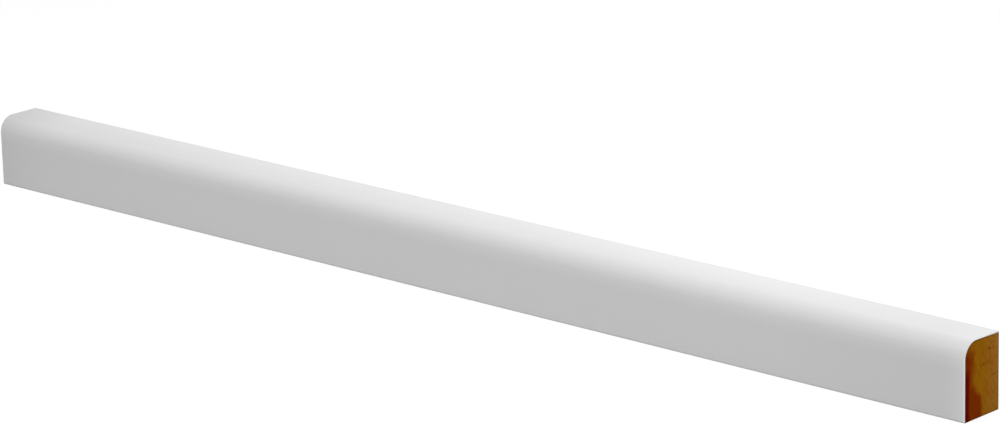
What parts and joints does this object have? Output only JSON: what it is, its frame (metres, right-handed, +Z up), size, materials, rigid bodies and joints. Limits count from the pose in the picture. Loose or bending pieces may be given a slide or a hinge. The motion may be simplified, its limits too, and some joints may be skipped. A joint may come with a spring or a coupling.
{
  "type": "skirting board",
  "caption": "Short straight length of white-primed MDF skirting board with a flat back, square-sawn ends and a quarter-rounded top front edge.",
  "frame": {"origin": "on the floor, under the middle of the board, centred in its length and its thickness", "axes": "+X along the board's length, +Y from the finished front face to the flat back that goes to the wall, +Z up from the foot to the top edge"},
  "size_m": [0.45, 0.018, 0.026],
  "materials": {
    "primed_mdf": "matte",
    "raw_mdf": "matte"
  },
  "bodies": {
    "root": {"skirting_board": "primed_mdf"}
  },
  "joints": []
}
